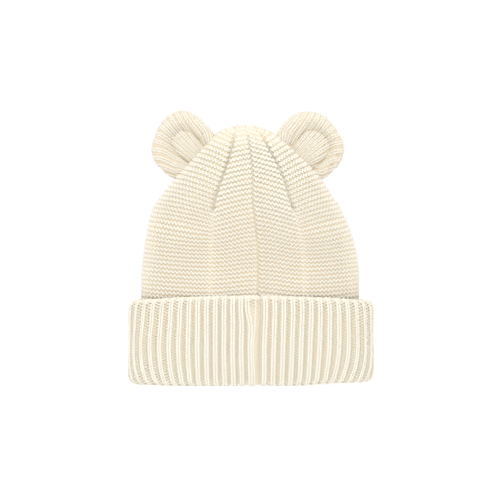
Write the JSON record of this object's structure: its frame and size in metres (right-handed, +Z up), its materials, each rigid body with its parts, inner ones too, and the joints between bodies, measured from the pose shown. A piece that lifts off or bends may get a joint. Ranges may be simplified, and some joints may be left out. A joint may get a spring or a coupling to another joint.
{
  "type": "knitted baby hat with ears",
  "caption": "Cream knitted baby hat with a gathered crown, a turned-up ribbed brim and two round stuffed ears.",
  "frame": {"origin": "on the surface that the hat stands on, under the middle of the brim", "axes": "+Z up through the top of the crown, -Y towards the back of the hat with its seam, +Y the way the wearer looks, +X to the right seen from the back"},
  "size_m": [0.172, 0.0928, 0.191],
  "materials": {
    "crown_knit": "matte cream yarn, knitted in ridges",
    "brim_knit": "matte cream yarn, knitted in ribs",
    "ear_knit": "matte cream yarn, knitted in fine ribs and stuffed"
  },
  "bodies": {
    "root": {"crown": "crown_knit", "brim": "brim_knit", "ear_left": "ear_knit", "ear_right": "ear_knit"}
  },
  "joints": []
}
